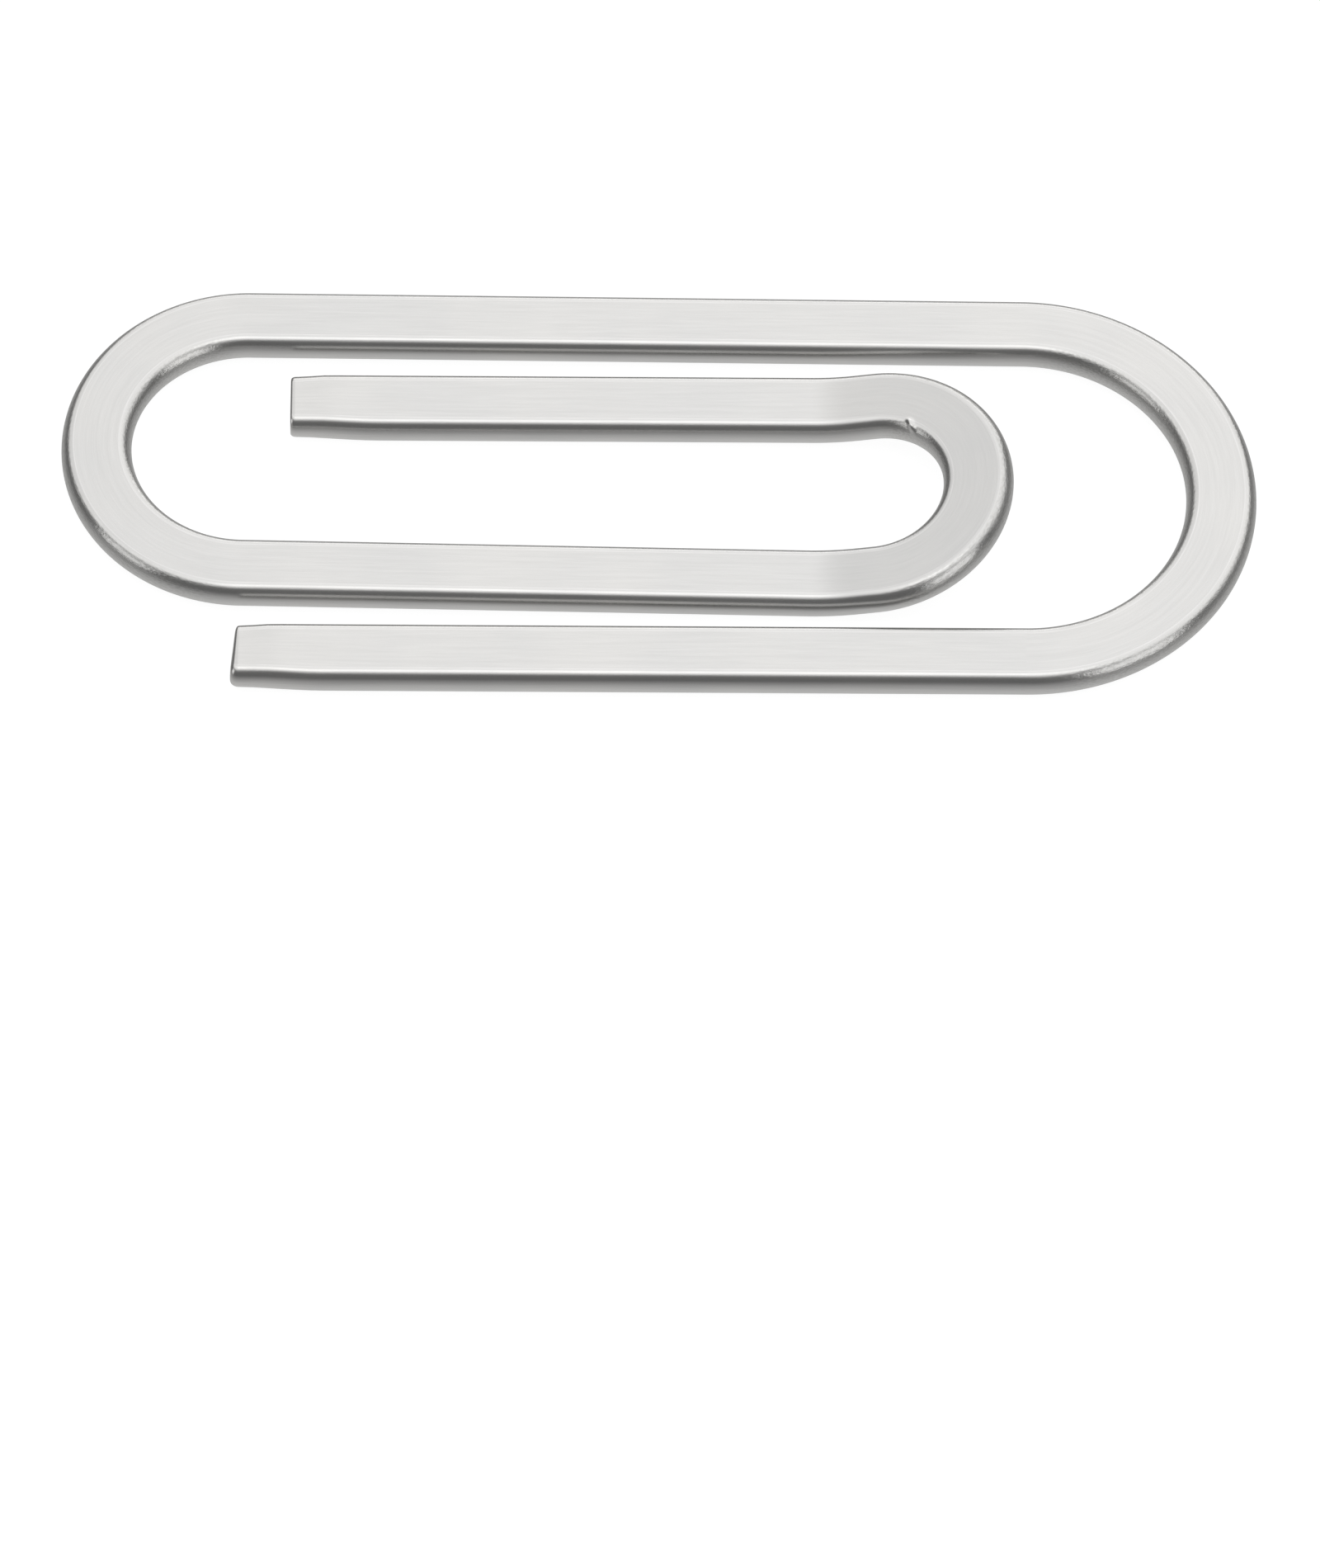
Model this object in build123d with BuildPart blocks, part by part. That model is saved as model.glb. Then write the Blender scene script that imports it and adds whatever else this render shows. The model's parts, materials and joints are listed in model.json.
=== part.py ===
from build123d import *
import os

os.makedirs("parts", exist_ok=True)

# A flat spring clip bent from one flattened steel bar. All sizes are in millimetres.
# Frame: +X runs along the clip towards the wide bend, +Y across it towards the top bar, and +Z up,
# the way the lip lifts. The origin is the centre of the outline, on the plane of the underside.

# The bar: flat top and bottom faces with convex sides
BAR_WIDTH = 3.52
FLAT_WIDTH = 2.27
BAR_THICKNESS = 1.70
SIDE_BULGE = (BAR_WIDTH - FLAT_WIDTH) / 2

# The outline, with bend radii to the bar's centreline
CLIP_LENGTH = 60.0
OUTER_RADIUS = 9.93
RETURN_RADIUS = 7.55
LIP_RADIUS = 5.25

# How far each leg drifts sideways over its straight run
OUTER_LEG_DRIFT = 0.27
INNER_BAR_DRIFT = 0.25
INNER_LEG_DRIFT = 0.19

# The fold that lifts the lip, and the flat stub between the fold and the lip bend
FOLD_RUN = 28.25
FOLD_RADIUS = 12.3
LIP_TILT = 11.4
LIP_STUB = 0.9

# The free ends: where they stop along the clip, and how they narrow
INNER_LEG_LENGTH = 26.15
OUTER_LEG_LENGTH = 39.3
TIP_LENGTH = 2.0
TIP_NARROWING = 0.28
TIP_THINNING = 0.10
TIP_CHAMFER = 0.12

# Places that follow from the outline
MID_Z = BAR_THICKNESS / 2
RETURN_X = -CLIP_LENGTH / 2 + BAR_WIDTH / 2 + RETURN_RADIUS
OUTER_X = CLIP_LENGTH / 2 - BAR_WIDTH / 2 - OUTER_RADIUS
TIP_START_DRIFT = OUTER_LEG_DRIFT * (1 - TIP_LENGTH / OUTER_LEG_LENGTH)
CLIP_WIDTH = 2 * OUTER_RADIUS + TIP_START_DRIFT + BAR_WIDTH
TOP_Y = CLIP_WIDTH / 2 - BAR_WIDTH / 2
OUTER_LEG_Y = TOP_Y - 2 * OUTER_RADIUS
INNER_BAR_Y = TOP_Y - 2 * RETURN_RADIUS

# The fold starts on one line across both legs of the tongue, and turns about an axis above it
FOLD_X = RETURN_X + FOLD_RUN
LIP_START_Y = INNER_BAR_Y - INNER_BAR_DRIFT
LIP_END_Y = LIP_START_Y + 2 * LIP_RADIUS
FOLD_AXIS = Axis((FOLD_X, 0, MID_Z + FOLD_RADIUS), (0, -1, 0))

# The lip's own plane: LIP_ALONG points to its tip and LIP_NORMAL out of its top face
LIP_ALONG = Vector(1, 0, 0).rotate(Axis.Y, -LIP_TILT)
LIP_NORMAL = Vector(0, 0, 1).rotate(Axis.Y, -LIP_TILT)


def section_plane(x, y):
    """The plane across a level bar whose centreline passes through x, y."""
    return Plane(origin=(x, y, MID_Z), x_dir=(0, 1, 0), z_dir=(1, 0, 0))


def lip_plane(y, stub):
    """The plane across the lifted bar, a given length past the end of the fold."""
    fold_centre = Vector(FOLD_X, y, MID_Z + FOLD_RADIUS)
    origin = fold_centre - LIP_NORMAL * FOLD_RADIUS + LIP_ALONG * stub
    return Plane(origin=origin, x_dir=(0, 1, 0), z_dir=LIP_ALONG)


def bar_section(plane, narrowing=0, thinning=0):
    """The flattened bar's section on a plane."""
    half_thickness = (BAR_THICKNESS - thinning) / 2
    flat_width = FLAT_WIDTH - narrowing
    with BuildSketch(plane) as section:
        Rectangle(flat_width, 2 * half_thickness)
        with Locations((-flat_width / 2, 0), (flat_width / 2, 0)):
            Ellipse(SIDE_BULGE, half_thickness)
    return section.sketch


def straight_run(x, y, run, drift):
    """Extrudes the section from x, y over a run along X, ending a little to one side."""
    direction = Vector(run, drift, 0)
    extrude(bar_section(section_plane(x, y)), amount=direction.length, dir=direction)


def lifted_fold(y):
    """Turns the section up through the fold at y, then adds the stub beyond it."""
    revolve(bar_section(section_plane(FOLD_X, y)), axis=FOLD_AXIS, revolution_arc=LIP_TILT)
    extrude(bar_section(lip_plane(y, 0)), amount=LIP_STUB)


def free_leg(x, y, length, drift):
    """Runs a leg towards -X from x, y and narrows it to a chamfered end."""
    straight = length - TIP_LENGTH
    straight_drift = drift * straight / length
    straight_run(x, y, -straight, straight_drift)
    tip_start = bar_section(section_plane(x - straight, y + straight_drift))
    tip_end = bar_section(section_plane(x - length, y + drift), TIP_NARROWING, TIP_THINNING)
    loft([tip_start, tip_end])


def tip_edges(leg):
    """The edges around the free end of a leg."""
    return leg.faces().sort_by(Axis.X)[0].edges()


# The long bar along the back of the clip
with BuildPart() as top_bar:
    straight_run(RETURN_X, TOP_Y, OUTER_X - RETURN_X, 0)

# The narrow U that joins the top bar to the tongue and springs it
with BuildPart() as return_bend:
    return_axis = Axis((RETURN_X, TOP_Y - RETURN_RADIUS, MID_Z), (0, 0, 1))
    revolve(bar_section(section_plane(RETURN_X, TOP_Y)), axis=return_axis, revolution_arc=180)

# The wide U that joins the top bar to the outer leg and springs it
with BuildPart() as outer_bend:
    outer_axis = Axis((OUTER_X, TOP_Y - OUTER_RADIUS, MID_Z), (0, 0, 1))
    revolve(bar_section(section_plane(OUTER_X, OUTER_LEG_Y)), axis=outer_axis, revolution_arc=180)

# The long free leg, which drifts slightly outwards
with BuildPart() as outer_leg:
    free_leg(OUTER_X, OUTER_LEG_Y, OUTER_LEG_LENGTH, -OUTER_LEG_DRIFT)
    chamfer(tip_edges(outer_leg), TIP_CHAMFER)

# The tongue's bar, up to the start of the lip bend
with BuildPart() as inner_bar:
    straight_run(RETURN_X, INNER_BAR_Y, FOLD_RUN, -INNER_BAR_DRIFT)
    lifted_fold(LIP_START_Y)

# The small U at the tongue's end, in the lifted plane
with BuildPart() as lip_bend:
    lip_axis = Axis(lip_plane(LIP_START_Y + LIP_RADIUS, LIP_STUB).origin, LIP_NORMAL)
    revolve(bar_section(lip_plane(LIP_START_Y, LIP_STUB)), axis=lip_axis, revolution_arc=180)

# The tongue's free leg, which comes down through the fold and runs back level
with BuildPart() as inner_leg:
    free_leg(FOLD_X, LIP_END_Y, INNER_LEG_LENGTH, -INNER_LEG_DRIFT)
    lifted_fold(LIP_END_Y)
    chamfer(tip_edges(inner_leg), TIP_CHAMFER)

pieces = {
    "top_bar": top_bar,
    "return_bend": return_bend,
    "inner_bar": inner_bar,
    "lip_bend": lip_bend,
    "inner_leg": inner_leg,
    "outer_bend": outer_bend,
    "outer_leg": outer_leg,
}
for name, piece in pieces.items():
    piece.part.label = name
    export_step(piece.part, f"parts/{name}.step")
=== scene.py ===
"""A money clip bent from one flattened steel bar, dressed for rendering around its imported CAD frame."""

import json
import math

import bpy
from mathutils import Matrix, Vector


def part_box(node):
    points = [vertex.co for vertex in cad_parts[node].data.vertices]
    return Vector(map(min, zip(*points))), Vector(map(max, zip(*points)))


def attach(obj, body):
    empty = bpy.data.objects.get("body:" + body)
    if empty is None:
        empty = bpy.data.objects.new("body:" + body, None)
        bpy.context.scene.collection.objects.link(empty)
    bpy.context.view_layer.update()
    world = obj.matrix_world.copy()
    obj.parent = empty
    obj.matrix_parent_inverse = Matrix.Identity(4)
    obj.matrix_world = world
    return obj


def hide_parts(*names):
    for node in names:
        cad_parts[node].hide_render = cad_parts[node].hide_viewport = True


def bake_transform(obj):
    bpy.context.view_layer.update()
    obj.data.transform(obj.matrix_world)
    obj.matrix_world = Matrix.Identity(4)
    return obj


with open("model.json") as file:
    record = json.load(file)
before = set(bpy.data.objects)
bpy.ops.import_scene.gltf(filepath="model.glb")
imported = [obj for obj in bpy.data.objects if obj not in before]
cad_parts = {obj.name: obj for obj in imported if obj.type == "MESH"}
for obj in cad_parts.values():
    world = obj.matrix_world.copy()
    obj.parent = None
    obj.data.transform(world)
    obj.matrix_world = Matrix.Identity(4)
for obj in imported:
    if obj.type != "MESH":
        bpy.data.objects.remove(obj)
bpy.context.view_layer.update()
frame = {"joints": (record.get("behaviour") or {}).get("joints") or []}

MM = 0.001

# The bar's section and the lip's fold, as the CAD has them
FLAT_WIDTH = 2.27 * MM
LIP_TILT = math.radians(11.4)
FOLD_RADIUS = 12.3 * MM
LIP_STUB = 0.9 * MM

# The free ends: the CAD's tip, how they slim on the near and far side, and where their rounding starts
TIP_LENGTH = 2.0 * MM
NEAR_TAPER_LENGTH, NEAR_SLIMMING = 4.2 * MM, 0.17 * MM
FAR_TAPER_LENGTH, FAR_SLIMMING = 1.6 * MM, 0.09 * MM
TIP_THINNING = 0.10 * MM
TIP_SETBACK = 0.28 * MM

# The wrinkle in the lip bend's inner wall: its share of the bend, how far down the wall it is, its slant
# as the shift along the bar per height, and its size
WRINKLE_SHARE = 0.830
WRINKLE_DOWN = 0.36 * MM
WRINKLE_SLANT = 0.8
WRINKLE_LENGTH = 0.27 * MM
WRINKLE_HEIGHT = 0.30 * MM
WRINKLE_RISE = 0.19 * MM

# How finely the bar is meshed: steps across a flat and round a side, along a straight and a bend, round
# a free end, and the loops that close an end
FLAT_STEPS = 12
SIDE_STEPS = 24
STRAIGHT_STEP = 0.8 * MM
BEND_STEP = math.radians(1.0)
ROUND_STEPS = 6
CAP_SHARES = (0.7, 0.35)

# A quarter ellipse's length as a share of the sum of its half-axes
QUARTER_ARC_SHARE = 0.8

# The steel's colours: two tones in blotches, darker streaks and grain, its burnished edges, lightened as a
# painted highlight, and its tint when it is seen in a reflection, darkened as painted shade
STEEL_WARM = (0.830, 0.821, 0.804, 1)
STEEL_COOL = (0.800, 0.795, 0.784, 1)
STREAK_TINT = (0.955, 0.955, 0.955, 1)
GRAIN_TINT = (0.975, 0.975, 0.975, 1)
# The burnished edges' colour, lighter than the steel as a painted highlight line along the edges
STEEL_BURNISHED_AND_HIGHLIT = (0.88, 0.87, 0.86, 1)
# The steel's tint where it is seen in a reflection, darkened as painted shade
STEEL_SHADED_IN_REFLECTIONS = (0.55, 0.55, 0.55, 1)

# The steel's textures: streaks, grain and speckle in cells per mm along and round the bar, and blotches
# and mottling in cells per metre
STREAK_SCALE = (0.22, 5.0, 1.0)
GRAIN_SCALE = (0.8, 16.0, 1.0)
SPECKLE_SCALE = (5.0, 9.0, 1.0)
BLOTCH_SCALE = (160, 160, 160)
MOTTLE_SCALE = (450, 450, 450)

# The noise values between which a texture goes from absent to full
STREAKS_BETWEEN = (0.3, 0.7)
SPECKS_BETWEEN = (0.35, 0.65)

# The depth of the steel's relief
MOTTLE_DEPTH = 0.008 * MM
GRAIN_DEPTH = 0.0012 * MM

# The steel's finish: its roughness between streaks and in them, and its sheen along the grain
ROUGHNESS_LOW, ROUGHNESS_HIGH = 0.215, 0.265
ANISOTROPY = 0.4
QUARTER_TURN = 0.25

# The burnished edges, their colour also lightened as a painted highlight: their width on the flat and on the
# wall, how little of them shows where the grain is low, the grain's values between which they go from that to
# full, and how much smoother they are
EDGE_WEAR_AND_HIGHLIGHT = 0.05 * MM
WALL_WEAR_AND_HIGHLIGHT = 0.12 * MM
LEAST_COVER = 0.3
COVER_BETWEEN = (0.35, 0.60)
EDGE_SMOOTHNESS = 0.04

# The bends' roughened walls: the share of a bend over which the speckle sets in, where it starts and is
# full below the flats' edge, its tint and depth, and how much rougher it is
WORKED_RAMP = 0.12
WORKED_FROM_EDGE, WORKED_FULLY_FROM_EDGE = 0.12 * MM, 0.40 * MM
SPECKLE_TINT = (0.86, 0.86, 0.85, 1)
SPECKLE_DEPTH = 0.014 * MM
SPECKLE_ROUGHNESS = 0.02

# The camera: where it looks from, and how far below the clip's middle it aims
CAMERA_ELEVATION = math.radians(57.28)
CAMERA_AZIMUTH = math.radians(-0.461)
CAMERA_ROLL = math.radians(1.043)
CAMERA_DISTANCE = 491.3 * MM
CAMERA_LENS = 225.1
CAMERA_SENSOR = 36
CAMERA_NEAREST, CAMERA_FURTHEST = 0.01, 20
CAMERA_SIDE = 0.092 * MM
CAMERA_DROP = 14.532 * MM

# The floor: its size, how far below the clip it lies, and its glow and its paper's tone, to the camera
# and in reflections
FLOOR_REACH = 3.0
FLOOR_GAP = 0.02 * MM
FLOOR_GLOW_TO_CAMERA = 0.93
FLOOR_GLOW_STEEPLY = 0.52
FLOOR_GLOW_ALONG = 0.08
FLOOR_PAPER_TO_CAMERA = 0.18
FLOOR_PAPER_IN_REFLECTIONS = 0.12

# The light dome: where its middle is and how far it reaches, in degrees, and its tones
DOME_AZIMUTH = 168
DOME_ELEVATION = 70
DOME_FULL_WITHIN = 36
DOME_ENDS_AT = 68
DOME_LIGHT = 0.995
WALLS_LIGHT = 0.12

# A dimmer patch in the dome, up behind the clip's narrow end
PATCH_AZIMUTH = -148
PATCH_ELEVATION = 52
PATCH_FULL_WITHIN = 7
PATCH_ENDS_AT = 19
PATCH_DIMMING = 0.80

UP = Vector((0, 0, 1))
ALONG = Vector((1, 0, 0))
ACROSS = Vector((0, 1, 0))


# ---------------------------------------------------------------- places, read from the frame

top_low, top_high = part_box("top_bar")
return_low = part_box("return_bend")[0]
outer_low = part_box("outer_bend")[0]
inner_bar_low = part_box("inner_bar")[0]
inner_leg_low, inner_leg_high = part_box("inner_leg")
outer_leg_low, outer_leg_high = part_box("outer_leg")
joints = {joint["name"]: joint for joint in frame["joints"]}

WIDTH = top_high.y - top_low.y
THICKNESS = top_high.z - top_low.z
BULGE = (WIDTH - FLAT_WIDTH) / 2
MID_Z = top_low.z + THICKNESS / 2
TOP_Y = top_low.y + WIDTH / 2
RETURN_X = top_low.x
OUTER_X = top_high.x
INNER_BAR_Y = return_low.y + WIDTH / 2
OUTER_LEG_Y = outer_low.y + WIDTH / 2
LIP_CENTRE = Vector(joints["inner_leg_flex"]["pos_m"])
FOLD_X = LIP_CENTRE.x - FOLD_RADIUS * math.sin(LIP_TILT) - LIP_STUB * math.cos(LIP_TILT)
FOLD_Y = inner_bar_low.y + WIDTH / 2
LIP_Y = inner_leg_high.y - WIDTH / 2


# ---------------------------------------------------------------- the bar's centreline

class Station:
    """One cross-section of the bar: its centre, its axes, how much smaller than full it is, and its skew."""

    def __init__(self, centre, across, up):
        self.centre = Vector(centre)
        self.across = Vector(across)
        self.up = Vector(up)
        self.ahead = self.across.cross(self.up)
        self.narrowing = 0.0
        self.thinning = 0.0
        self.skew = 0.0

    def place(self, across, up, ahead=0.0):
        """A point of the section, with its skew, in space."""
        return self.centre + self.across * across + self.up * up + self.ahead * (ahead + self.skew * across)

    def aim(self, across, up, ahead):
        """A unit direction given in the section's own axes."""
        return (self.across * across + self.up * up + self.ahead * ahead).normalized()


def smooth(share):
    """Eases a share from 0 to 1."""
    share = min(1.0, max(0.0, share))
    return share * share * (3 - 2 * share)


def straight(start, end, across, up):
    """Stations along a straight run."""
    start, end = Vector(start), Vector(end)
    steps = max(1, math.ceil((end - start).length / STRAIGHT_STEP))
    return [Station(start.lerp(end, i / steps), across, up) for i in range(steps + 1)]


def turn(station, pivot, axis, angle):
    """The station turned about an axis through a pivot."""
    spin = Matrix.Rotation(angle, 3, axis)
    return Station(pivot + spin @ (station.centre - pivot), spin @ station.across, spin @ station.up)


def bend(station, pivot, axis, angle):
    """Stations from this one round an arc."""
    steps = max(1, math.ceil(abs(angle) / BEND_STEP))
    return [turn(station, pivot, axis, angle * i / steps) for i in range(steps + 1)]


class FreeEnd:
    """A leg's end: its skew, the depth and reach of its rounding, and the far side's share of that reach."""

    def __init__(self, skew, inset, reach, far_share):
        self.skew = math.radians(skew)
        self.inset = inset * MM
        self.reach = reach * MM
        self.far_share = far_share

    def slant(self):
        """How much further the end reaches per width towards the near side."""
        return math.tan(self.skew) + self.reach * (1 - self.far_share) / WIDTH


OUTER_LEG_END = FreeEnd(-0.8, 0.26, 0.42, 0.40)
INNER_LEG_END = FreeEnd(-1.4, 0.14, 0.26, 0.85)


def taper(stations, skew):
    """Narrows, thins and skews the last stations of a leg towards its free end."""
    end = stations[-1].centre
    for station in stations:
        to_end = (end - station.centre).length
        near = NEAR_SLIMMING * smooth(1 - to_end / NEAR_TAPER_LENGTH)
        far = FAR_SLIMMING * smooth(1 - to_end / FAR_TAPER_LENGTH)
        share = smooth(1 - to_end / TIP_LENGTH)
        station.narrowing = near + far
        station.centre = station.centre + station.across * (far - near) / 2
        station.thinning = TIP_THINNING * share
        station.skew = math.tan(skew) * share


def free_leg(start, tip_x, drift_per_length, free_end):
    """Stations of a level leg from its root to where its rounded tip begins."""
    length = start.x - tip_x - TIP_SETBACK
    end = Vector((start.x - length, start.y - drift_per_length * length, start.z))
    body_end = end.lerp(start, NEAR_TAPER_LENGTH / length)
    stations = straight(start, body_end, -ACROSS, UP)
    stations += straight(body_end, end, -ACROSS, UP)[1:]
    taper(stations, free_end.skew)
    return stations


def fold(y, across):
    """Stations from the fold line at y up through the fold and along the stub."""
    start = Station((FOLD_X, y, MID_Z), across, UP)
    pivot = Vector((FOLD_X, y, MID_Z + FOLD_RADIUS))
    stations = bend(start, pivot, ACROSS, -LIP_TILT)
    last = stations[-1]
    ahead = ALONG * math.cos(LIP_TILT) + UP * math.sin(LIP_TILT)
    return stations + straight(last.centre, last.centre + ahead * LIP_STUB, last.across, last.up)[1:]


def leg_drift(low, high, start_x, tip_x):
    """How far a free leg drifts sideways per length, from its node's box."""
    return (high.y - low.y - WIDTH) / (start_x - tip_x - TIP_LENGTH)


def top_bar_path():
    """Stations from the outer bend to the return bend."""
    return straight((OUTER_X, TOP_Y, MID_Z), (RETURN_X, TOP_Y, MID_Z), -ACROSS, UP)


def return_bend_path():
    """Stations from the top bar round to the tongue."""
    pivot = Vector((RETURN_X, (TOP_Y + INNER_BAR_Y) / 2, MID_Z))
    return bend(Station((RETURN_X, TOP_Y, MID_Z), -ACROSS, UP), pivot, UP, math.pi)


def inner_bar_path():
    """Stations from the return bend up through the fold to the lip."""
    run = straight((RETURN_X, INNER_BAR_Y, MID_Z), (FOLD_X, FOLD_Y, MID_Z), ACROSS, UP)
    return run + fold(FOLD_Y, ACROSS)[1:]


def lip_bend_path():
    """Stations round the lip, in its tilted plane."""
    start = fold(FOLD_Y, ACROSS)[-1]
    return bend(start, LIP_CENTRE, start.up, math.pi)


def inner_leg_path():
    """Stations from the lip down through the fold to the free end."""
    drift = leg_drift(inner_leg_low, inner_leg_high, FOLD_X, inner_leg_low.x)
    folded = [Station(s.centre, -s.across, s.up) for s in reversed(fold(LIP_Y, ACROSS))]
    return folded + free_leg(Vector((FOLD_X, LIP_Y, MID_Z)), inner_leg_low.x, drift, INNER_LEG_END)[1:]


def outer_bend_path():
    """Stations from the outer leg round to the top bar."""
    pivot = Vector((OUTER_X, (TOP_Y + OUTER_LEG_Y) / 2, MID_Z))
    return bend(Station((OUTER_X, OUTER_LEG_Y, MID_Z), ACROSS, UP), pivot, UP, math.pi)


def outer_leg_path():
    """Stations from the outer bend to the free end."""
    drift = leg_drift(outer_leg_low, outer_leg_high, OUTER_X, outer_leg_low.x)
    return free_leg(Vector((OUTER_X, OUTER_LEG_Y, MID_Z)), outer_leg_low.x, drift, OUTER_LEG_END)


# ---------------------------------------------------------------- from stations to a mesh

def outline(station):
    """The section's points in order round it, each as (across, up, normal across, normal up)."""
    flat = (FLAT_WIDTH - station.narrowing) / 2
    half = (THICKNESS - station.thinning) / 2
    points = []
    for side in (1, -1):
        for i in range(FLAT_STEPS):
            points.append((side * flat * (2 * i / FLAT_STEPS - 1), side * half, 0.0, side))
        for i in range(SIDE_STEPS):
            tilt = math.pi / 2 - math.pi * i / SIDE_STEPS
            angle = math.atan2(half * math.sin(tilt), BULGE * math.cos(tilt))
            across, up = flat + BULGE * math.cos(angle), half * math.sin(angle)
            points.append((side * across, side * up, side * math.cos(tilt), side * math.sin(tilt)))
    return points


def edge_distances():
    """How far each point of the section lies from a flat's edge in millimetres, below 0 on the walls."""
    half_flat, half_wall = FLAT_WIDTH / 2 / MM, (BULGE + THICKNESS / 2) * QUARTER_ARC_SHARE / MM
    flat = [half_flat * (1 - abs(1 - 2 * i / FLAT_STEPS)) for i in range(FLAT_STEPS)]
    wall = [-half_wall * (1 - abs(1 - 2 * i / SIDE_STEPS)) for i in range(SIDE_STEPS)]
    return (flat + wall) * 2


class Ring:
    """The skin's points at one place along the bar, with a normal for each and the length run so far."""

    def __init__(self, length):
        self.length = length
        self.worked = 0.0
        self.points = []
        self.normals = []


def slopes(stations, i):
    """How fast the section's points move outwards per length at a station, across and up."""
    before, after = stations[max(0, i - 1)], stations[min(len(stations) - 1, i + 1)]
    span = (after.centre - before.centre).length
    return [((b[0] - a[0]) / span, (b[1] - a[1]) / span) for a, b in zip(outline(before), outline(after))]


def body_rings(stations, start_length):
    """One ring for each station."""
    rings = []
    length = start_length
    for i, station in enumerate(stations):
        if i:
            length += (station.centre - stations[i - 1].centre).length
        ring = Ring(length)
        for (across, up, n_across, n_up), (d_across, d_up) in zip(outline(station), slopes(stations, i)):
            ring.points.append(station.place(across, up))
            ring.normals.append(station.aim(n_across, n_up, -(d_across * n_across + d_up * n_up)))
        rings.append(ring)
    return rings


def work_steel(rings):
    """Marks how much bending has roughened each ring of a bend: not at its ends, but fully further in."""
    start, end = rings[0].length, rings[-1].length
    for ring in rings:
        share = (ring.length - start) / (end - start)
        ring.worked = smooth(min(1.0, share / WORKED_RAMP, (1.0 - share) / WORKED_RAMP))


def rounded_end(last, length, free_end):
    """The rings that round a free end over."""
    points = outline(last)
    half_width = max(point[0] for point in points)
    half_height = max(point[1] for point in points)
    rings = []
    for i in range(1, ROUND_STEPS + 1):
        angle = math.pi / 2 * i / ROUND_STEPS
        shrink = free_end.inset * (1 - math.cos(angle))
        ring = Ring(length + free_end.reach * math.sin(angle))
        for across, up, n_across, n_up in points:
            share = free_end.far_share + (1 - free_end.far_share) * (0.5 + 0.5 * across / half_width)
            reach = free_end.reach * share
            ring.points.append(last.place(across * (1 - shrink / half_width), up * (1 - shrink / half_height),
                                          reach * math.sin(angle)))
            lean = math.atan2(free_end.inset * math.sin(angle), reach * math.cos(angle))
            ring.normals.append(last.aim(n_across * math.cos(lean) - free_end.slant() * math.sin(lean),
                                         n_up * math.cos(lean), math.sin(lean)))
        rings.append(ring)
    return rings


EDGE_DISTANCES = edge_distances()


def raise_wrinkle(rings, stations):
    """Raises the wrinkle on the upper half of the inner wall."""
    start, end = rings[0].length, rings[-1].length
    for ring, station in zip(rings, stations):
        along = ring.length - start - (end - start) * WRINKLE_SHARE
        points = outline(station)
        for i in range(FLAT_STEPS, FLAT_STEPS + SIDE_STEPS // 2):
            n_across, n_up = points[i][2:]
            down = -EDGE_DISTANCES[i] * MM - WRINKLE_DOWN
            slanted = along + WRINKLE_SLANT * down
            rise = WRINKLE_RISE * math.exp(-(slanted / WRINKLE_LENGTH) ** 2 - (down / WRINKLE_HEIGHT) ** 2)
            slope_along = 2 * slanted / WRINKLE_LENGTH ** 2 * rise
            slope_down = WRINKLE_SLANT * slope_along + 2 * down / WRINKLE_HEIGHT ** 2 * rise
            ring.points[i] = ring.points[i] + ring.normals[i] * rise
            ring.normals[i] = station.aim(n_across + n_up * slope_down, n_up - n_across * slope_down,
                                          slope_along)


class Skin:
    """A mesh in the making: vertices, faces, and a UV and a normal for each face corner."""

    def __init__(self):
        self.vertices = []
        self.from_edge = []
        self.worked = []
        self.faces = []
        self.uvs = []
        self.normals = []

    def add_points(self, points, worked):
        """Adds a ring's vertices and returns the index of the first."""
        self.vertices.extend(points)
        self.worked.extend([worked] * len(points))
        self.from_edge.extend(EDGE_DISTANCES[:len(points)])
        return len(self.vertices) - len(points)

    def add_face(self, corners, flip=False):
        """Adds a face from corners given as (vertex, uv, normal)."""
        if flip:
            corners = corners[::-1]
        self.faces.append([vertex for vertex, uv, normal in corners])
        self.uvs.extend(uv for vertex, uv, normal in corners)
        self.normals.extend(normal for vertex, uv, normal in corners)

    def make(self, name):
        """Turns the skin into a linked object."""
        mesh = bpy.data.meshes.new(name)
        mesh.from_pydata([tuple(point) for point in self.vertices], [], self.faces)
        layer = mesh.uv_layers.new(name="bar_mm")
        for loop, uv in zip(layer.data, self.uvs):
            loop.uv = uv
        mesh.attributes.new("from_edge", "FLOAT", "POINT").data.foreach_set("value", self.from_edge)
        mesh.attributes.new("worked", "FLOAT", "POINT").data.foreach_set("value", self.worked)
        mesh.polygons.foreach_set("use_smooth", [True] * len(mesh.polygons))
        mesh.normals_split_custom_set([tuple(normal) for normal in self.normals])
        piece = bpy.data.objects.new(name, mesh)
        bpy.context.scene.collection.objects.link(piece)
        return piece


def girths(points):
    """Distances round a ring in millimetres from its first point, one more than its points."""
    total = 0.0
    out = [0.0]
    for here, there in zip(points, points[1:] + points[:1]):
        total += (there - here).length / MM
        out.append(total)
    return out


def sweep(skin, rings):
    """Skins the rings from first to last."""
    count = len(rings[0].points)
    around = girths(rings[0].points)
    bases = [skin.add_points(ring.points, ring.worked) for ring in rings]
    for (ring, base), (after, after_base) in zip(zip(rings, bases), zip(rings[1:], bases[1:])):
        for j in range(count):
            k = (j + 1) % count
            skin.add_face([
                (base + j, (ring.length / MM, around[j]), ring.normals[j]),
                (base + k, (ring.length / MM, around[j + 1]), ring.normals[k]),
                (after_base + k, (after.length / MM, around[j + 1]), after.normals[k]),
                (after_base + j, (after.length / MM, around[j]), after.normals[j]),
            ], True)
    return bases


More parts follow.
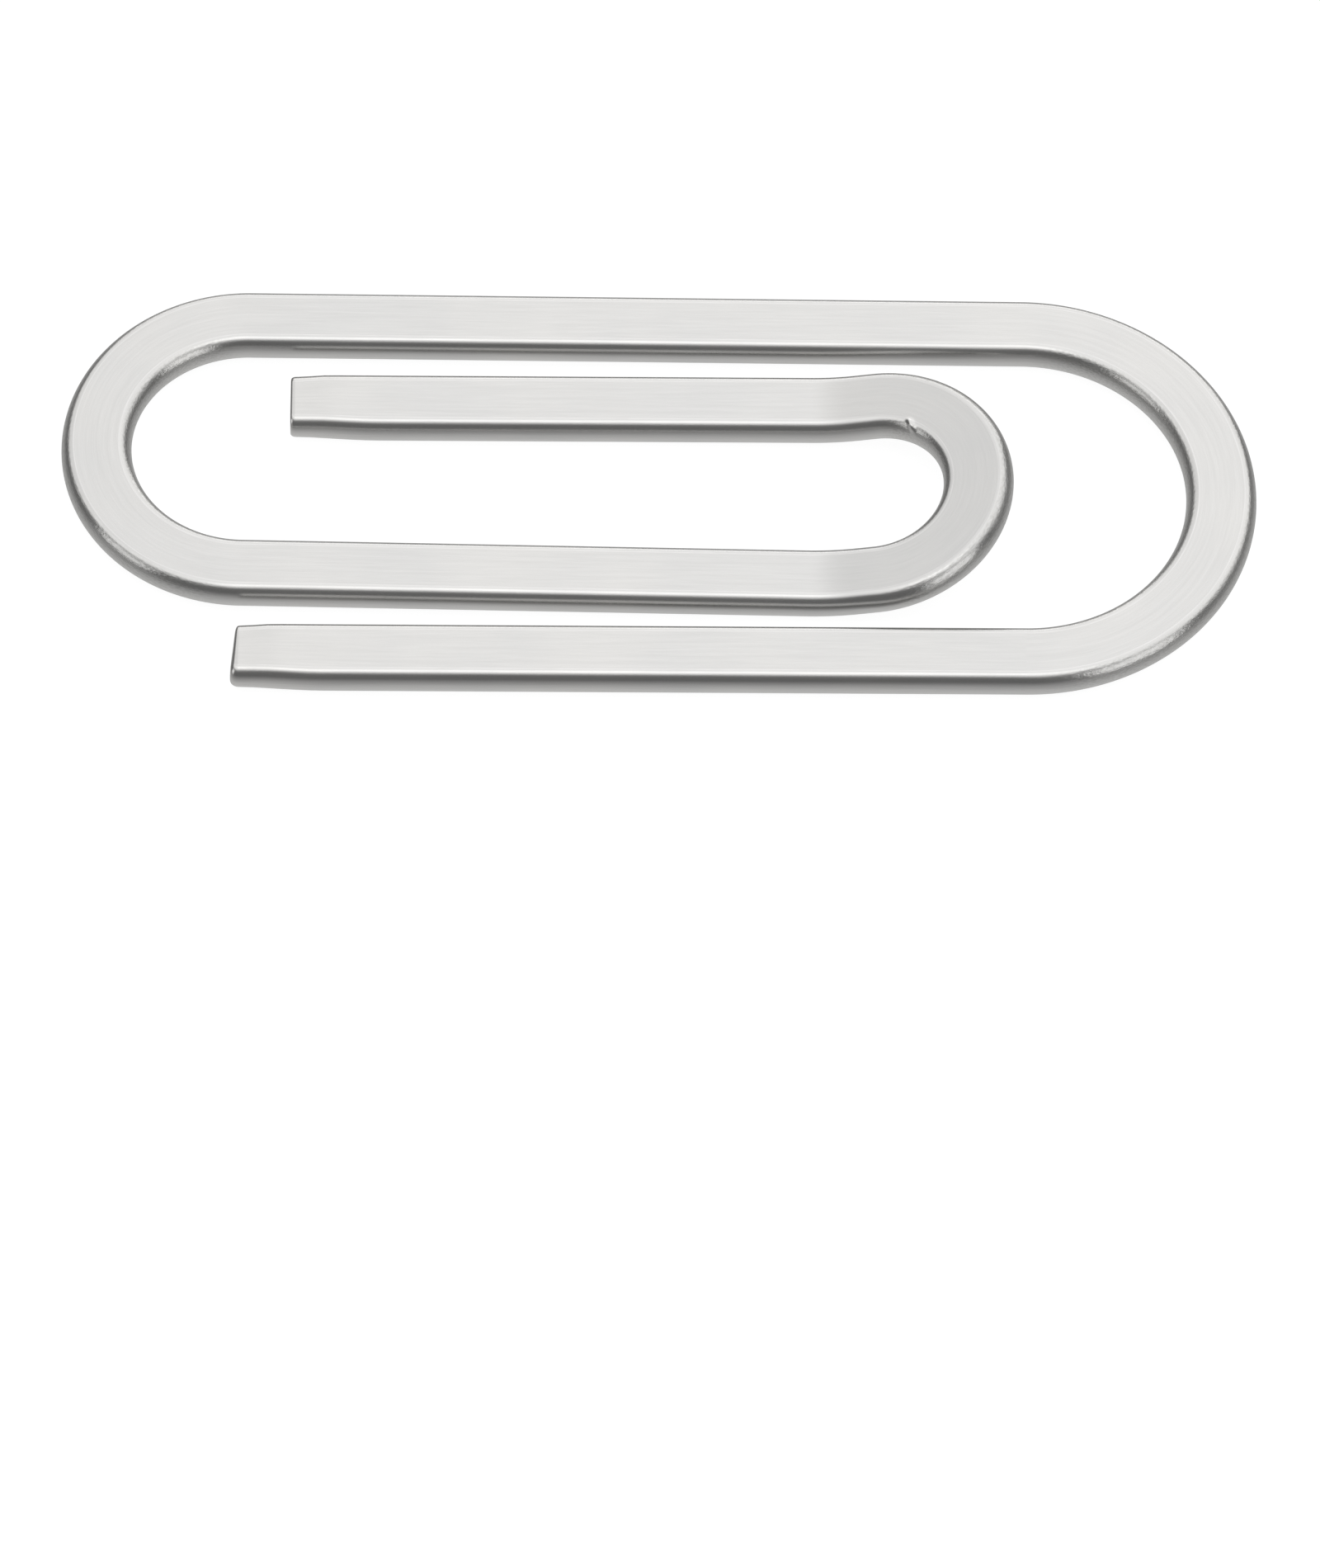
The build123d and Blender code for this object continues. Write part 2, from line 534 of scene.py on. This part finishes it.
def close(skin, ring, base, normal, flip):
    """Closes an end with shrinking loops of faces round its centre."""
    count = len(ring.points)
    around = girths(ring.points)
    centre = sum(ring.points, Vector()) / count
    uvs = [(ring.length / MM, girth) for girth in around]
    for share in CAP_SHARES:
        inner = skin.add_points([centre.lerp(point, share) for point in ring.points], ring.worked)
        for j in range(count):
            k = (j + 1) % count
            quad = ((base + j, j), (base + k, k), (inner + k, k), (inner + j, j))
            skin.add_face([(vertex, uvs[place], normal) for vertex, place in quad], flip)
        base = inner
    middle = skin.add_points([centre], ring.worked)
    for j in range(count):
        k = (j + 1) % count
        triangle = ((base + j, j), (base + k, k), (middle, j))
        skin.add_face([(vertex, uvs[place], normal) for vertex, place in triangle], flip)


def build(name, stations, start_length, free_end=None, bent=False, wrinkled=False):
    """Sweeps the section along the stations into a closed object; returns it and the length reached."""
    rings = body_rings(stations, start_length)
    last = stations[-1]
    end_normal = last.ahead
    length = rings[-1].length
    if bent:
        work_steel(rings)
    if wrinkled:
        raise_wrinkle(rings, stations)
    if free_end:
        rings += rounded_end(last, length, free_end)
        end_normal = last.aim(-free_end.slant(), 0, 1)
    skin = Skin()
    bases = sweep(skin, rings)
    close(skin, rings[0], bases[0], -stations[0].ahead, False)
    close(skin, rings[-1], bases[-1], end_normal, True)
    return skin.make(name), length


# ---------------------------------------------------------------- materials

def node(tree, kind, **settings):
    """Adds a shader node and sets its properties."""
    made = tree.nodes.new(kind)
    for key, value in settings.items():
        setattr(made, key, value)
    return made


def ranged(tree, socket, low, high, start=0.0, end=1.0, interpolation="LINEAR"):
    """Maps a value from start-end to low-high and returns the result's socket."""
    made = node(tree, "ShaderNodeMapRange", interpolation_type=interpolation)
    tree.links.new(socket, made.inputs["Value"])
    for name, value in (("From Min", start), ("From Max", end), ("To Min", low), ("To Max", high)):
        made.inputs[name].default_value = value
    return made.outputs["Result"]


def noise(tree, coordinates, scale, detail=2.0):
    """Noise from 0 to 1 over coordinates stretched by a scale for each axis, with some levels of detail."""
    stretch = node(tree, "ShaderNodeMapping")
    stretch.inputs["Scale"].default_value = scale
    tree.links.new(coordinates, stretch.inputs["Vector"])
    made = node(tree, "ShaderNodeTexNoise")
    made.inputs["Scale"].default_value = 1.0
    made.inputs["Detail"].default_value = detail
    tree.links.new(stretch.outputs["Vector"], made.inputs["Vector"])
    return made.outputs["Fac"]


def bumped(tree, height, distance, below=None):
    """A bump of a height in metres, laid over another one."""
    bump = node(tree, "ShaderNodeBump")
    bump.inputs["Distance"].default_value = distance
    tree.links.new(height, bump.inputs["Height"])
    if below:
        tree.links.new(below, bump.inputs["Normal"])
    return bump.outputs["Normal"]


def combined(tree, operation, first, second):
    """Two values put together by a maths operation."""
    made = node(tree, "ShaderNodeMath", operation=operation)
    tree.links.new(first, made.inputs[0])
    tree.links.new(second, made.inputs[1])
    return made.outputs["Value"]


def mixed(tree, factor, first, second, blend_type="MIX"):
    """A first colour, fixed or from a socket, mixed with a second by a factor."""
    made = node(tree, "ShaderNodeMix", data_type="RGBA", blend_type=blend_type)
    tree.links.new(factor, made.inputs["Factor"])
    if isinstance(first, tuple):
        made.inputs["A"].default_value = first
    else:
        tree.links.new(first, made.inputs["A"])
    made.inputs["B"].default_value = second
    return made.outputs["Result"]


def tinted(tree, colour, amount, tint):
    """A colour multiplied by a tint where a noise is high."""
    return mixed(tree, ranged(tree, amount, 0.0, 1.0, *STREAKS_BETWEEN), colour, tint, "MULTIPLY")


def attribute(tree, name):
    """The value that the mesh holds under a name."""
    return node(tree, "ShaderNodeAttribute", attribute_name=name).outputs["Fac"]


def burnished_and_highlit_edges(tree):
    """Where the bar is burnished and its colour lightened as a painted highlight: 1 along the flats' edges
    and 0 away from them.
    """
    distance = attribute(tree, "from_edge")
    on_flat = ranged(tree, distance, 1.0, 0.0, 0.0, EDGE_WEAR_AND_HIGHLIGHT / MM, "SMOOTHSTEP")
    on_wall = ranged(tree, distance, 0.0, 1.0, -WALL_WEAR_AND_HIGHLIGHT / MM, 0.0, "SMOOTHSTEP")
    return combined(tree, "MULTIPLY", on_flat, on_wall)


def worked_walls(tree):
    """Where bending has roughened the steel: 1 on the bends' walls and 0 elsewhere."""
    distance = attribute(tree, "from_edge")
    fully, first = -WORKED_FULLY_FROM_EDGE / MM, -WORKED_FROM_EDGE / MM
    on_wall = ranged(tree, distance, 1.0, 0.0, fully, first, "SMOOTHSTEP")
    return combined(tree, "MULTIPLY", attribute(tree, "worked"), on_wall)


def steel_colour(tree, textures, worn_and_highlit, rough):
    """The steel's two tones under streaks and grain, with burnished edges lightened as a painted highlight,
    speckled bends, and painted shade where it is seen in a reflection.
    """
    blotches = ranged(tree, textures["blotch"], 0.0, 1.0, *SPECKS_BETWEEN)
    tone = mixed(tree, blotches, STEEL_WARM, STEEL_COOL)
    streaked = tinted(tree, tone, textures["streaks"], STREAK_TINT)
    grained = tinted(tree, streaked, textures["grain"], GRAIN_TINT)
    cover = ranged(tree, textures["grain"], LEAST_COVER, 1.0, *COVER_BETWEEN)
    # Painted highlight: the burnished edges' colour is lightened to stand in for the bright line along the
    # edges
    burnished_and_highlit = mixed(tree, combined(tree, "MULTIPLY", worn_and_highlit, cover), grained, STEEL_BURNISHED_AND_HIGHLIT)
    specks = ranged(tree, textures["speckle"], 0.0, 1.0, *SPECKS_BETWEEN)
    speckled = mixed(tree, combined(tree, "MULTIPLY", rough, specks), burnished_and_highlit, SPECKLE_TINT, "MULTIPLY")
    # Painted shade: the steel is darkened where it is seen in a reflection
    reflected = node(tree, "ShaderNodeLightPath").outputs["Is Glossy Ray"]
    return mixed(tree, reflected, speckled, STEEL_SHADED_IN_REFLECTIONS, "MULTIPLY")


def steel_roughness(tree, textures, worn_and_highlit, rough):
    """The steel's roughness: less along the burnished edges, more on the bends' walls."""
    satin = ranged(tree, textures["streaks"], ROUGHNESS_LOW, ROUGHNESS_HIGH, *STREAKS_BETWEEN)
    polished = combined(tree, "SUBTRACT", satin, ranged(tree, worn_and_highlit, 0.0, EDGE_SMOOTHNESS))
    return combined(tree, "ADD", polished, ranged(tree, rough, 0.0, SPECKLE_ROUGHNESS))


def steel_relief(tree, textures, rough):
    """The steel's relief: mottling, then the bends' speckle, then the grain."""
    mottled = bumped(tree, textures["mottling"], MOTTLE_DEPTH)
    speckled = bumped(tree, combined(tree, "MULTIPLY", rough, textures["speckle"]), SPECKLE_DEPTH, mottled)
    return bumped(tree, textures["grain"], GRAIN_DEPTH, speckled)


def brushed_steel():
    """Satin stainless steel: grain and streaks along the bar, mottling, burnished edges lightened as a
    painted highlight, rough bends, and painted shade where it is seen in a reflection.
    """
    material = bpy.data.materials.new("satin_steel")
    material.use_nodes = True
    tree = material.node_tree
    tree.nodes.clear()
    along = node(tree, "ShaderNodeUVMap", uv_map="bar_mm").outputs["UV"]
    place = node(tree, "ShaderNodeTexCoord").outputs["Object"]
    textures = {
        "streaks": noise(tree, along, STREAK_SCALE, 3.0),
        "grain": noise(tree, along, GRAIN_SCALE, 4.0),
        "mottling": noise(tree, place, MOTTLE_SCALE),
        "blotch": noise(tree, place, BLOTCH_SCALE),
        "speckle": noise(tree, along, SPECKLE_SCALE, 3.0),
    }
    worn_and_highlit = burnished_and_highlit_edges(tree)
    rough = worked_walls(tree)
    shader = node(tree, "ShaderNodeBsdfPrincipled")
    shader.inputs["Metallic"].default_value = 1.0
    shader.inputs["Anisotropic"].default_value = ANISOTROPY
    shader.inputs["Anisotropic Rotation"].default_value = QUARTER_TURN
    link = tree.links.new
    link(steel_colour(tree, textures, worn_and_highlit, rough), shader.inputs["Base Color"])
    link(steel_roughness(tree, textures, worn_and_highlit, rough), shader.inputs["Roughness"])
    link(steel_relief(tree, textures, rough), shader.inputs["Normal"])
    tangent = node(tree, "ShaderNodeTangent", direction_type="UV_MAP", uv_map="bar_mm")
    link(tangent.outputs["Tangent"], shader.inputs["Tangent"])
    link(shader.outputs["BSDF"], node(tree, "ShaderNodeOutputMaterial").inputs["Surface"])
    return material


def floor_material():
    """A pale satin floor: nearly white to the camera, duller in low reflections, and clear from below."""
    material = bpy.data.materials.new("pale_floor")
    material.use_nodes = True
    tree = material.node_tree
    tree.nodes.clear()
    link = tree.links.new
    output = node(tree, "ShaderNodeOutputMaterial")
    to_camera = node(tree, "ShaderNodeLightPath").outputs["Is Camera Ray"]
    angle = node(tree, "ShaderNodeLayerWeight")
    reflected = ranged(tree, angle.outputs["Facing"], FLOOR_GLOW_STEEPLY, FLOOR_GLOW_ALONG)
    strength = node(tree, "ShaderNodeMix", data_type="FLOAT")
    link(to_camera, strength.inputs["Factor"])
    link(reflected, strength.inputs["A"])
    strength.inputs["B"].default_value = FLOOR_GLOW_TO_CAMERA
    glow = node(tree, "ShaderNodeEmission")
    link(strength.outputs["Result"], glow.inputs["Strength"])
    paper = node(tree, "ShaderNodeBsdfDiffuse")
    link(ranged(tree, to_camera, FLOOR_PAPER_IN_REFLECTIONS, FLOOR_PAPER_TO_CAMERA), paper.inputs["Color"])
    lit = node(tree, "ShaderNodeAddShader")
    link(glow.outputs["Emission"], lit.inputs[0])
    link(paper.outputs["BSDF"], lit.inputs[1])
    side = node(tree, "ShaderNodeNewGeometry")
    clear = node(tree, "ShaderNodeBsdfTransparent")
    chosen = node(tree, "ShaderNodeMixShader")
    link(side.outputs["Backfacing"], chosen.inputs["Fac"])
    link(lit.outputs["Shader"], chosen.inputs[1])
    link(clear.outputs["BSDF"], chosen.inputs[2])
    link(chosen.outputs["Shader"], output.inputs["Surface"])
    return material


# ---------------------------------------------------------------- the pieces

steel = brushed_steel()


def finish_piece(piece, replaced):
    """Gives a piece its steel and hides the CAD node it stands for."""
    piece.data.materials.append(steel)
    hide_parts(replaced)


def rigid_piece(name, stations, body, start_length, free_end=None):
    """A stretch of bar that moves with one body, with a rounded free end if it is a leg."""
    piece, length = build(name, stations, start_length, free_end)
    finish_piece(piece, name.removesuffix("_steel"))
    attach(piece, body)
    return length


def springy_bend(name, stations, start_length, wrinkled=False):
    """A bend with its walls marked as worked, baked in place and attached to no body."""
    piece, length = build(name, stations, start_length, bent=True, wrinkled=wrinkled)
    finish_piece(piece, name.removesuffix("_steel"))
    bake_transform(piece)
    return length


# The length along the bar at the top bar's start. The grain runs on from there through the tongue, and
# from the outer bend into the top bar. The outer leg's grain starts afresh.
TOP_BAR_STARTS = 100 * MM
OUTER_LEG_STARTS = 200 * MM
length = rigid_piece("top_bar_steel", top_bar_path(), "outer_frame", TOP_BAR_STARTS)
length = springy_bend("return_bend_steel", return_bend_path(),
                      length)
length = rigid_piece("inner_bar_steel", inner_bar_path(), "tongue", length)
length = springy_bend("lip_bend_steel", lip_bend_path(),
                      length, wrinkled=True)
rigid_piece("inner_leg_steel", inner_leg_path(), "inner_leg", length, INNER_LEG_END)
outer_bend_starts = TOP_BAR_STARTS - math.pi * (TOP_Y - OUTER_LEG_Y) / 2
springy_bend("outer_bend_steel", outer_bend_path(),
             outer_bend_starts)
rigid_piece("outer_leg_steel", outer_leg_path(), "outer_leg", OUTER_LEG_STARTS, OUTER_LEG_END)


# ---------------------------------------------------------------- stage, light and camera

def make_floor():
    """A square floor just under the clip."""
    corners = [(x * FLOOR_REACH, y * FLOOR_REACH, 0) for x, y in ((-1, -1), (1, -1), (1, 1), (-1, 1))]
    mesh = bpy.data.meshes.new("floor")
    mesh.from_pydata(corners, [], [(0, 1, 2, 3)])
    floor = bpy.data.objects.new("floor", mesh)
    floor.location.z = -FLOOR_GAP
    mesh.materials.append(floor_material())
    bpy.context.scene.collection.objects.link(floor)


def toward(azimuth, elevation):
    """Unit vector to a light: azimuth 0 is the camera's side and 90 the clip's wide end, in degrees."""
    a, e = math.radians(azimuth), math.radians(elevation)
    return Vector((math.sin(a) * math.cos(e), -math.cos(a) * math.cos(e), math.sin(e)))


def softbox(name, azimuth, elevation, distance, width, height, radiance):
    """An area light that faces the clip and stays out of the camera's sight."""
    light = bpy.data.lights.new(name, "AREA")
    light.shape = "RECTANGLE"
    light.size, light.size_y = width, height
    light.energy = radiance * math.pi * width * height
    lamp = bpy.data.objects.new(name, light)
    direction = toward(azimuth, elevation)
    lamp.location = direction * distance
    lamp.rotation_mode = "QUATERNION"
    lamp.rotation_quaternion = direction.to_track_quat("Z", "Y")
    lamp.visible_camera = False
    bpy.context.scene.collection.objects.link(lamp)


def lobe(tree, place, azimuth, elevation, full_within, ends_at, inside, outside):
    """A value that goes softly from inside to outside with the angle from a direction, in degrees."""
    lean = node(tree, "ShaderNodeVectorMath", operation="DOT_PRODUCT")
    tree.links.new(place.outputs["Generated"], lean.inputs[0])
    lean.inputs[1].default_value = toward(azimuth, elevation)
    far, near = math.cos(math.radians(ends_at)), math.cos(math.radians(full_within))
    return ranged(tree, lean.outputs["Value"], outside, inside, far, near, "SMOOTHSTEP")


def make_world():
    """A soft light dome that leans away from the camera, over dim walls that look pale to the camera."""
    world = bpy.data.worlds.new("studio")
    bpy.context.scene.world = world
    world.use_nodes = True
    tree = world.node_tree
    place = node(tree, "ShaderNodeTexCoord")
    dome = lobe(tree, place, DOME_AZIMUTH, DOME_ELEVATION, DOME_FULL_WITHIN, DOME_ENDS_AT,
                DOME_LIGHT, WALLS_LIGHT)
    patch = lobe(tree, place, PATCH_AZIMUTH, PATCH_ELEVATION, PATCH_FULL_WITHIN, PATCH_ENDS_AT,
                 PATCH_DIMMING, 1.0)
    path = node(tree, "ShaderNodeLightPath")
    tone = node(tree, "ShaderNodeMix", data_type="FLOAT")
    tree.links.new(path.outputs["Is Camera Ray"], tone.inputs["Factor"])
    tree.links.new(combined(tree, "MULTIPLY", dome, patch), tone.inputs["A"])
    tone.inputs["B"].default_value = 1.0
    background = tree.nodes["Background"]
    background.inputs["Color"].default_value = (1, 1, 1, 1)
    tree.links.new(tone.outputs["Result"], background.inputs["Strength"])


def make_lights():
    """Softboxes round the clip, which its rounded edges and sides mirror."""
    softbox("top_softbox", azimuth=20, elevation=82, distance=1.2, width=0.5, height=0.4, radiance=0.42)
    softbox("backdrop_softbox", azimuth=172, elevation=12, distance=1.6, width=1.9, height=0.6, radiance=0.85)
    softbox("back_right_softbox", azimuth=102, elevation=20, distance=1.2, width=0.7, height=0.5,
            radiance=0.22)
    softbox("left_softbox", azimuth=-66, elevation=20, distance=1.2, width=0.6, height=0.7, radiance=0.74)
    softbox("right_softbox", azimuth=48, elevation=18, distance=1.2, width=0.80, height=0.85, radiance=0.92)


def make_camera():
    """A long lens that looks down on the clip, aimed below it so that it sits high in the frame."""
    e, a = CAMERA_ELEVATION, CAMERA_AZIMUTH
    ahead = Vector((-math.sin(a) * math.cos(e), math.cos(a) * math.cos(e), -math.sin(e)))
    level = Vector((math.cos(a), math.sin(a), 0))
    side = Matrix.Rotation(CAMERA_ROLL, 3, -ahead) @ level
    top = side.cross(ahead)
    aim = Vector((0, 0, MID_Z)) + side * CAMERA_SIDE - top * CAMERA_DROP
    data = bpy.data.cameras.new("camera")
    data.lens = CAMERA_LENS
    data.sensor_width = CAMERA_SENSOR
    data.clip_start, data.clip_end = CAMERA_NEAREST, CAMERA_FURTHEST
    camera = bpy.data.objects.new("camera", data)
    camera.matrix_world = Matrix((side, top, -ahead)).transposed().to_4x4()
    camera.location = aim - ahead * CAMERA_DISTANCE
    bpy.context.scene.collection.objects.link(camera)
    bpy.context.scene.camera = camera


make_floor()
make_world()
make_lights()
make_camera()
bpy.context.scene.view_settings.view_transform = "Standard"

bpy.context.view_layer.update()
